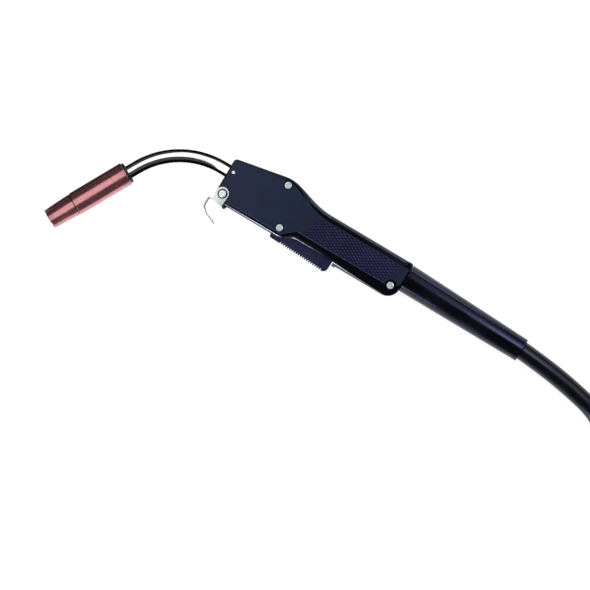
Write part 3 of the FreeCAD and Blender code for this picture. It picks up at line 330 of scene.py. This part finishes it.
def shell_plastic(name, panel, edge):
    """The handle shells: finely textured side panels, and glossy rounded edges around them, painted darker as
    shade, with a painted highlight line along each panel's rim.
    """
    paint = Paint(name, edge, 0.2)
    paint.set("Specular Tint", (*NAVY_SHEEN, 1))
    low_face, high_face = PANEL_FACES
    depth = 0.2 * MM  # the panels end between one and two of these below their faces
    left = paint.past("Z", high_face - 2 * depth, high_face - depth)
    right = paint.past("Z", low_face + 2 * depth, low_face + depth)
    on_panel = paint.mixed("ADD", 1.0, left, right)
    # A thin band at each panel's rim, where the painted highlight goes.
    rim_highlight_mask = paint.mixed("ADD", 1.0, paint.band("Z", high_face), paint.band("Z", low_face))
    smudge = paint.noise(SMUDGE_SCALE, 4.0)
    rubbed = paint.between(smudge, panel, scaled(panel, 0.7), 0.35, 0.7)
    dust = paint.between(paint.noise(DUST_SCALE, 6.0), 0.0, 1.0, 0.64, 0.8)
    dusty = paint.mixed("MIX", dust, rubbed, scaled(panel, 1.3))
    # Panels get the navy colour; the glossy edges get a darker copy of it, as painted shade.
    shade = paint.mixed("MIX", on_panel, edge, dusty)
    # Painted highlight: the rim band gets a lighter purple colour.
    paint.drive("Base Color", paint.mixed("MIX", rim_highlight_mask, shade, PAINTED_RIM_HIGHLIGHT))
    worn = paint.between(smudge, 0.40, 0.50, 0.3, 0.7)
    glossy = paint.between(smudge, 0.14, 0.24, 0.3, 0.7)
    paint.drive("Roughness", paint.mixed("MIX", on_panel, glossy, worn))
    grain = paint.mixed("MULTIPLY", 1.0, on_panel, paint.noise(2600.0, 2.0))
    paint.bump((grain, 0.00003), (paint.noise(RIPPLE_SCALE, 2.0), 0.00002))
    return paint.material


def metal(
    name, colour, roughness, tarnish_and_reflection, grain=900.0, depth=0.000004, brush=(1, 1, 1), metallic=1.0, cut=None
):
    """Bare or plated metal: brush lines, tarnished spots and fingermarks. In front of a cut it takes the darker
    colour all over, a painted darker reflection.
    """
    paint = Paint(name, colour, roughness, metallic)
    lines = paint.noise(grain, 3.0, paint.stretched(brush))
    cloud = paint.noise(55.0, 5.0)
    clean = paint.between(lines, scaled(colour, 0.88), colour, 0.3, 0.7)
    spots = paint.between(cloud, 0.0, 0.75, 0.5, 0.78)
    shade = paint.mixed("MIX", spots, clean, tarnish_and_reflection)
    if cut:
        # In front of the cut the metal takes its darker colour all over: a painted darker reflection.
        shade = paint.mixed("MIX", paint.past("X", cut, cut - 2 * MM), shade, tarnish_and_reflection)
    paint.drive("Base Color", shade)
    paint.drive("Roughness", paint.between(cloud, roughness * 0.8, roughness * 1.5, 0.35, 0.75))
    paint.bump((lines, depth))
    return paint.material


def copper(name, colour, roughness):
    """Copper turned about the nozzle's axis: rings, heat stain at both ends, spatter haze, and painted shade as a
    dark line in the step's groove.
    """
    paint = Paint(name, colour, roughness, 0.92)
    paint.set("Coat Weight", 1.0)
    paint.set("Coat IOR", 1.9)
    paint.set("Coat Roughness", 0.22)
    axis = Vector(JOINTS["nozzle_slide"]["axis"])
    low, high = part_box("nozzle")
    along = paint.node("ShaderNodeVectorMath", operation="DOT_PRODUCT")
    along.inputs[1].default_value = axis
    paint.link(paint.place, along.inputs[0])
    middle = (low + high) / 2
    shifted = paint.node("ShaderNodeMath", operation="SUBTRACT")
    paint.link(along.outputs["Value"], shifted.inputs[0])
    shifted.inputs[1].default_value = middle.dot(axis)
    rings = paint.node("ShaderNodeTexNoise", noise_dimensions="1D")
    rings.inputs["Scale"].default_value = 2600.0
    rings.inputs["Detail"].default_value = 4.0
    paint.link(shifted.outputs[0], rings.inputs["W"])
    distance = paint.node("ShaderNodeMath", operation="ABSOLUTE")
    paint.link(shifted.outputs[0], distance.inputs[0])
    share = paint.node("ShaderNodeMath", operation="DIVIDE")
    paint.link(distance.outputs[0], share.inputs[0])
    share.inputs[1].default_value = NOZZLE_HALF_LENGTH
    cloud = paint.noise(70.0, 6.0)
    wobble = paint.mixed("LINEAR_LIGHT", 0.35, share.outputs[0], cloud)
    stain = paint.between(wobble, 0.0, 0.55, 0.72, 1.05)
    turned = paint.between(rings.outputs["Fac"], scaled(colour, 0.82), colour, 0.3, 0.7)
    spots = paint.between(paint.noise(260.0, 5.0), 0.0, 0.6, 0.45, 0.72)
    dull = paint.mixed("MIX", spots, turned, scaled(colour, 0.6))
    rear = min(vertex.co.dot(axis) for vertex in NODES["nozzle"].data.vertices)
    # A dark line at the step's groove: painted shade in the recess.
    groove_shade = paint.node("ShaderNodeMath", operation="COMPARE")
    paint.link(along.outputs["Value"], groove_shade.inputs[0])
    groove_shade.inputs[1].default_value = rear + STEP_GROOVE
    groove_shade.inputs[2].default_value = GROOVE_HALF_WIDTH
    stained = paint.mixed("MIX", stain, dull, HEAT_STAIN)
    paint.drive("Base Color", paint.mixed("MIX", groove_shade.outputs[0], stained, GROOVE_SHADE_COPPER))
    paint.drive("Roughness", paint.between(cloud, roughness * 0.85, roughness * 1.3, 0.35, 0.7))
    paint.bump((rings.outputs["Fac"], 0.000006), (paint.noise(500.0, 4.0), 0.000008))
    return paint.material


def woven(name, colour):
    """A woven strap: crossed threads and a fuzzy nap."""
    paint = Paint(name, colour, 0.85)
    paint.set("Sheen Weight", 0.4)
    paint.set("Sheen Roughness", 0.5)
    threads = []
    for direction in ("X", "Y"):
        wave = paint.node("ShaderNodeTexWave", wave_type="BANDS", bands_direction=direction)
        wave.inputs["Scale"].default_value = 260.0
        wave.inputs["Distortion"].default_value = 0.6
        paint.link(paint.place, wave.inputs["Vector"])
        threads.append(wave.outputs["Fac"])
    weave = paint.mixed("MULTIPLY", 1.0, threads[0], threads[1])
    paint.drive("Base Color", paint.between(weave, colour, scaled(colour, 2.2, 0.01), 0.1, 0.8))
    paint.bump((weave, 0.00015), (paint.noise(1500.0, 3.0), 0.00008))
    return paint.material


FINISHES = {
    "copper": copper("copper_drawn", (0.57, 0.172, 0.190), 0.20),
    "tip_copper": metal("copper_bare", (0.80, 0.40, 0.28), 0.32, (0.30, 0.13, 0.09)),
    "insulator": moulded("phenolic_black", (0.006, 0.006, 0.008), 0.42, WHITE_SHEEN),
    "spring_steel": metal("steel_spring", (0.55, 0.55, 0.56), 0.3, (0.25, 0.22, 0.2)),
    "brass": metal(
        "brass_turned", (0.80, 0.58, 0.27), 0.24, (0.45, 0.30, 0.14), brush=(1, 0.05, 0.05)
    ),
    "chrome_tube": metal(
        "steel_polished", (0.90, 0.90, 0.93), 0.07, (0.55, 0.53, 0.56), 1400.0, 0.000001
    ),
    "zinc_steel": metal(
        "zinc_bright", (0.86, 0.97, 1.0), 0.26, (0.5, 0.58, 0.62), 1200.0, metallic=0.55
    ),
    # The sheet's purple-grey darker colour serves both its tarnished spots and, on the hook's tongue, a painted
    # darker reflection.
    "zinc_sheet": metal(
        "zinc_sheet",
        (0.93, 0.98, 0.98),
        0.22,
        (0.42, 0.39, 0.54),
        700.0,
        brush=(0.08, 1, 1),
        cut=HOOK_BEND,
    ),
    "black_steel": metal("steel_black", (0.03, 0.03, 0.035), 0.4, (0.08, 0.07, 0.06)),
    "clear_hose": moulded("hose_clear", (0.55, 0.55, 0.50), 0.3, WHITE_SHEEN),
    "cable_rubber": moulded("rubber_cable", (0.0014, 0.0016, 0.0020), 0.26, NAVY_SHEEN, 900.0),
    "boot_rubber": moulded(
        "rubber_boot", (0.0012, 0.0013, 0.0020), 0.20, PURPLE_SHEEN, 1400.0, 0.000010
    ),
    "handle_plastic": shell_plastic("nylon_black", PANEL_NAVY, SHADED_EDGE_BLACK),
    "trigger_plastic": moulded("nylon_trigger", (0.009, 0.009, 0.028), 0.38, PURPLE_SHEEN),
    "switch_plastic": moulded("switch_case", (0.03, 0.03, 0.03), 0.5, WHITE_SHEEN),
    "plunger_plastic": moulded("switch_plunger_red", (0.45, 0.03, 0.02), 0.4, WHITE_SHEEN),
    "lead_plastic": moulded("lead_red", (0.50, 0.04, 0.03), 0.35, WHITE_SHEEN),
    "tie_fabric": woven("strap_black", (0.010, 0.010, 0.011)),
}
GRIP_FINISH = moulded("nylon_grip", (0.018, 0.017, 0.056), 0.40, NAVY_SHEEN)


def finish_nodes():
    """Each CAD node gets the finish of its material slot."""
    for row in frame["record"]["subparts"]:
        slots = NODES[row["node"]].data.materials
        slots.clear()
        slots.append(FINISHES[row["material_slot"]])


def new_piece(name, data, slot, body="torch", finish=None):
    """A new piece that rides on a body and takes a slot's finish, or a finish of its own."""
    piece = bpy.data.objects.new(name, data)
    bpy.context.scene.collection.objects.link(piece)
    data.materials.append(finish or FINISHES[slot])
    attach(piece, body)
    return piece


def mesh_of(name, bm, smooth=False):
    """A mesh from a bmesh, with its faces turned outwards."""
    bmesh.ops.recalc_face_normals(bm, faces=bm.faces)
    for face in bm.faces:
        face.smooth = smooth
    mesh = bpy.data.meshes.new(name)
    bm.to_mesh(mesh)
    bm.free()
    return mesh


# ---- the free cable ----

CABLE_RADIUS = 9.5 * MM
ROUTE = (
    (0.2710, -0.00445, 0.0160),
    (0.3000, -0.0069, 0.0144),
    (0.3300, -0.0114, 0.0115),
    (0.3640, -0.0186, 0.0098),
    (0.3824, -0.0301, 0.0096),
    (0.4010, -0.0452, 0.00955),
    (0.4159, -0.0639, 0.00955),
)
OUTER_TURN, INNER_TURN, TURN_STEP = 0.116, 0.078, 0.019  # the coil's radii, and from turn to turn
LOW_LAYER, HIGH_LAYER = 0.00955, 0.0286
CLIMB = (1.86, 2.14)  # the turns between which the cable climbs to the upper layer
POINTS_PER_TURN = 24
FIRST_SHARE = 0.35  # how much of a step the coil's first point comes after the route's end
AFTER_COIL = Vector((0.037, -0.0012, -0.0018))
INTO_PLUG = (Vector((0.005, 0, 0)), Vector((0.0435, 0.0003, 0)))
ENTRY_HEADING = math.atan2(ROUTE[-1][1] - ROUTE[-2][1], ROUTE[-1][0] - ROUTE[-2][0])
ENTRY_ANGLE = ENTRY_HEADING - math.pi / 2
COIL_CENTRE = Vector(ROUTE[-1]) - OUTER_TURN * Vector((math.cos(ENTRY_ANGLE), math.sin(ENTRY_ANGLE), 0))
TURNS = 4 - ENTRY_HEADING / math.tau
PLUG_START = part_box("plug_boot")[0].x
PLUG_AXIS = Vector(JOINTS["coupling_nut_spin"]["pos_m"])


def turn_radius(turns):
    """The coil winds in on the floor for two turns, then out again on top."""
    if turns < 2:
        return OUTER_TURN - TURN_STEP * turns
    return INNER_TURN + TURN_STEP * (turns - 2)


def coil_point(turns):
    """A point of the cable's middle after so many turns of the coil."""
    share = min(max((turns - CLIMB[0]) / (CLIMB[1] - CLIMB[0]), 0), 1)
    height = LOW_LAYER + (HIGH_LAYER - LOW_LAYER) * share * share * (3 - 2 * share)
    angle = ENTRY_ANGLE + math.tau * turns
    reach = turn_radius(turns) / math.cos(math.pi / POINTS_PER_TURN)
    out = Vector((math.cos(angle), math.sin(angle), 0))
    return Vector((COIL_CENTRE.x, COIL_CENTRE.y, height)) + out * reach


def cable_points():
    """The cable's control points: its route to the coil, the coil's turns, and the tail to the plug."""
    points = [Vector(p) for p in ROUTE[:-1]]
    count = round(TURNS * POINTS_PER_TURN)
    points += [coil_point(TURNS * (i + FIRST_SHARE) / count) for i in range(count)]
    tail_start = coil_point(TURNS)
    plug = Vector((PLUG_START, PLUG_AXIS.y, PLUG_AXIS.z))
    return points + [tail_start, tail_start + AFTER_COIL] + [plug + step for step in INTO_PLUG]


def make_cable():
    """The free cable, as one smooth tube."""
    curve = bpy.data.curves.new("cable", "CURVE")
    curve.dimensions = "3D"
    curve.bevel_depth = CABLE_RADIUS
    curve.bevel_resolution = 9
    curve.resolution_u = 10
    curve.use_fill_caps = True
    spline = curve.splines.new("NURBS")
    points = cable_points()
    spline.points.add(len(points) - 1)
    for point, place in zip(spline.points, points):
        point.co = (*place, 1)
    spline.order_u = 3
    spline.use_endpoint_u = True
    cable = new_piece("cable", curve, "cable_rubber")
    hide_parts("cable_run", "cable_coil", "cable_tail")
    return cable


def make_strap():
    """The strap that ties the coil: a band round the four turns it crosses, with a lapped end."""
    first = -ENTRY_ANGLE / math.tau % 1
    turns = [first + i for i in range(4)]
    middles = [(turn_radius(t), LOW_LAYER if t < 2 else HIGH_LAYER) for t in turns]
    half_width, thick, thinned = 12.5 * MM, 1.2 * MM, 0.25 * MM
    lap_start, lap_end = math.radians(50), math.radians(128)
    rows, flat_share = 9, 0.8
    bm = bmesh.new()

    def skin(direction, lift):
        """The point of the band's loop that faces a direction, lifted off the cable."""
        facing = Vector((math.cos(direction), math.sin(direction)))
        best = max(middles, key=lambda m: Vector(m).dot(facing))
        point = Vector(best) + facing * (CABLE_RADIUS + lift)
        return point.x, max(point.y, lift)

    def band(start, end, inner, outer, half, count):
        """A closed strip of band between two directions, its long edges a little thinner."""
        whole = abs(end - start) > math.tau - 0.01
        steps = [start + (end - start) * i / count for i in range(count + (0 if whole else 1))]
        loops = []
        for direction in steps:
            loop = []
            for side, lift in ((1, outer), (-1, inner)):
                for row in range(rows):
                    across = side * (1 - 2 * row / (rows - 1))
                    edge = thinned * side * max(0, abs(across) - flat_share) / (1 - flat_share)
                    reach, height = skin(direction, lift - edge)
                    place = (COIL_CENTRE.x + reach, COIL_CENTRE.y + across * half, height)
                    loop.append(bm.verts.new(place))
            loops.append(loop)
        pairs = list(zip(loops, loops[1:] + ([loops[0]] if whole else [])))
        for one, two in pairs:
            for i in range(len(one)):
                bm.faces.new((one[i], one[i - 1], two[i - 1], two[i]))
        if not whole:
            bm.faces.new(loops[0])
            bm.faces.new(loops[-1])

    band(0, math.tau, 0.05 * MM, thick, half_width, 120)
    band(lap_start, lap_end, thick + 0.03 * MM, 2.1 * thick, half_width * 0.96, 40)
    strap = new_piece("coil_strap", mesh_of("coil_strap", bm, True), "tie_fabric")
    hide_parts("coil_tie")
    return strap


# ---- pieces with more detail than their CAD solids ----

PATCH = ((32.6, 5.3), (124.0, 5.3), (115.4, -16.2), (23.4, -16.2))  # the recess in each side, in mm
PATCH_FLOORS = {"left": (31.25, 1), "right": (0.75, -1)}  # the recess's floor in mm, and which way is out
DIAMOND = (5.56, 3.2)  # the pattern's pitch along and across the grip, in mm
DIAMOND_HEIGHT = 0.6
# Each diamond's rings, from inside the recess's floor up: (share of the pitch, height in mm).
DIAMOND_RINGS = ((0.86, -0.1), (0.86, 0), (0.56, DIAMOND_HEIGHT))
CORNERS = ((1, 0), (0, 1), (-1, 0), (0, -1))


def make_diamonds(side):
    """The cut diamonds that fill one grip recess."""
    floor, outward = PATCH_FLOORS[side]
    bm = bmesh.new()
    low_x, high_x = min(p[0] for p in PATCH), max(p[0] for p in PATCH)
    low_y, high_y = min(p[1] for p in PATCH), max(p[1] for p in PATCH)
    half_x, half_y = DIAMOND[0] / 2, DIAMOND[1] / 2
    for row in range(int((high_y - low_y) / half_y) + 3):
        for column in range(int((high_x - low_x) / DIAMOND[0]) + 2):
            x = low_x + (column + row % 2 / 2) * DIAMOND[0]
            y = low_y + row * half_y
            rings = []
            for share, height in DIAMOND_RINGS:
                ring = []
                for across, up in CORNERS:
                    offset = Vector((across * half_x * share, up * half_y * share, outward * height))
                    ring.append(bm.verts.new((Vector((x, y, floor)) + offset) * MM))
                rings.append(ring)
            for lower, upper in zip(rings, rings[1:]):
                for i in range(4):
                    bm.faces.new((lower[i - 1], lower[i], upper[i], upper[i - 1]))
            bm.faces.new(rings[0])
            bm.faces.new(rings[-1])
    corners = [Vector((*p, floor)) * MM for p in PATCH]
    for start, end in zip(corners, corners[1:] + corners[:1]):
        outside = (end - start).cross(Vector((0, 0, 1))) * -1
        geometry = bm.verts[:] + bm.edges[:] + bm.faces[:]
        cut = bmesh.ops.bisect_plane(
            bm, geom=geometry, plane_co=start, plane_no=outside, clear_outer=True, dist=1e-7
        )
        edges = [e for e in cut["geom_cut"] if isinstance(e, bmesh.types.BMEdge)]
        bmesh.ops.holes_fill(bm, edges=edges, sides=12)
    name = "grip_diamonds_" + side
    new_piece(name, mesh_of(name, bm), "handle_plastic", finish=GRIP_FINISH)


def revolved(name, profile, start, sides=96):
    """A closed ring turned about a line along X: profile is (distance along it, radius), in mm."""
    bm = bmesh.new()
    along_x = Vector((1, 0, 0))
    loops = []
    for i in range(sides):
        angle = math.tau * i / sides
        out = Vector((0, math.cos(angle), math.sin(angle)))
        loops.append([bm.verts.new(start + (along_x * x + out * radius) * MM) for x, radius in profile])
    for one, two in zip(loops, loops[1:] + loops[:1]):
        for i in range(len(profile)):
            bm.faces.new((one[i - 1], one[i], two[i], two[i - 1]))
    return mesh_of(name, bm, True)


def make_relief():
    """The plug's strain relief: a tapered sleeve with ring grooves that let it bend."""
    bore, thin_end, thick_end, taper, length = 9.55, 11.3, 14.0, 30.0, 36.0
    grooves, first, pitch, groove, deep, wall_slope = 6, 3.0, 4.4, 1.5, 1.3, 0.15
    neck = 12.0  # the gap's radius before the sleeve's end ring
    profile = [(0.0, bore), (0.0, thin_end - 0.3), (0.3, thin_end)]
    for i in range(grooves):
        at = first + i * pitch
        radius = thin_end + (thick_end - thin_end) * at / taper
        profile += [(at, radius), (at + wall_slope, radius - deep)]
        profile += [(at + groove - wall_slope, radius - deep), (at + groove, radius + 0.12)]
    profile += [(taper - 0.4, thick_end - 0.05), (taper, thick_end - 0.4)]
    profile += [(taper, neck), (length - 3, neck), (length - 3, thick_end), (length, thick_end)]
    profile += [(length, bore)]
    plug_start = Vector((PLUG_START, PLUG_AXIS.y, PLUG_AXIS.z))
    mesh = revolved("plug_strain_relief", profile, plug_start)
    relief = new_piece("plug_strain_relief", mesh, "boot_rubber")
    sharpen(relief)
    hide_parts("plug_boot")
    return relief


def sharpen(piece, angle=35):
    """Marks the edges sharper than an angle, so that flat and round faces shade apart."""
    bm = bmesh.new()
    bm.from_mesh(piece.data)
    for edge in bm.edges:
        edge.smooth = edge.calc_face_angle(0) < math.radians(angle)
    bm.to_mesh(piece.data)
    bm.free()


def make_spring():
    """The trigger's return spring, with closed end turns."""
    low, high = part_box("trigger_spring")
    wire, turns, per_turn = 0.45 * MM, 7.6, 36
    close_ends = 0.08  # how much the end turns close up
    radius = (high.x - low.x) / 2 - wire
    centre = (low + high) / 2
    count = round(turns * per_turn)
    curve = bpy.data.curves.new("return_spring_line", "CURVE")
    curve.dimensions = "3D"
    curve.bevel_depth = wire
    curve.bevel_resolution = 2
    curve.use_fill_caps = True
    spline = curve.splines.new("POLY")
    spline.points.add(count)
    length = high.y - low.y - 2 * wire
    for i, point in enumerate(spline.points):
        share = i / count
        eased = share - close_ends * math.sin(math.tau * share)
        angle = math.tau * turns * share
        place = (centre.x + radius * math.cos(angle), low.y + wire + length * eased)
        point.co = (*place, centre.z + radius * math.sin(angle), 1)
    helper = bpy.data.objects.new("return_spring_line", curve)
    bpy.context.scene.collection.objects.link(helper)
    bpy.context.view_layer.update()
    mesh = bpy.data.meshes.new_from_object(helper)
    bpy.data.objects.remove(helper)
    mesh.materials.clear()
    spring = new_piece("return_spring", mesh, "spring_steel")
    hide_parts("trigger_spring")
    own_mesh(spring)


make_camera()
make_stage()
finish_nodes()
cable = make_cable()
strap = make_strap()
relief = make_relief()
for side in PATCH_FLOORS:
    make_diamonds(side)
make_spring()
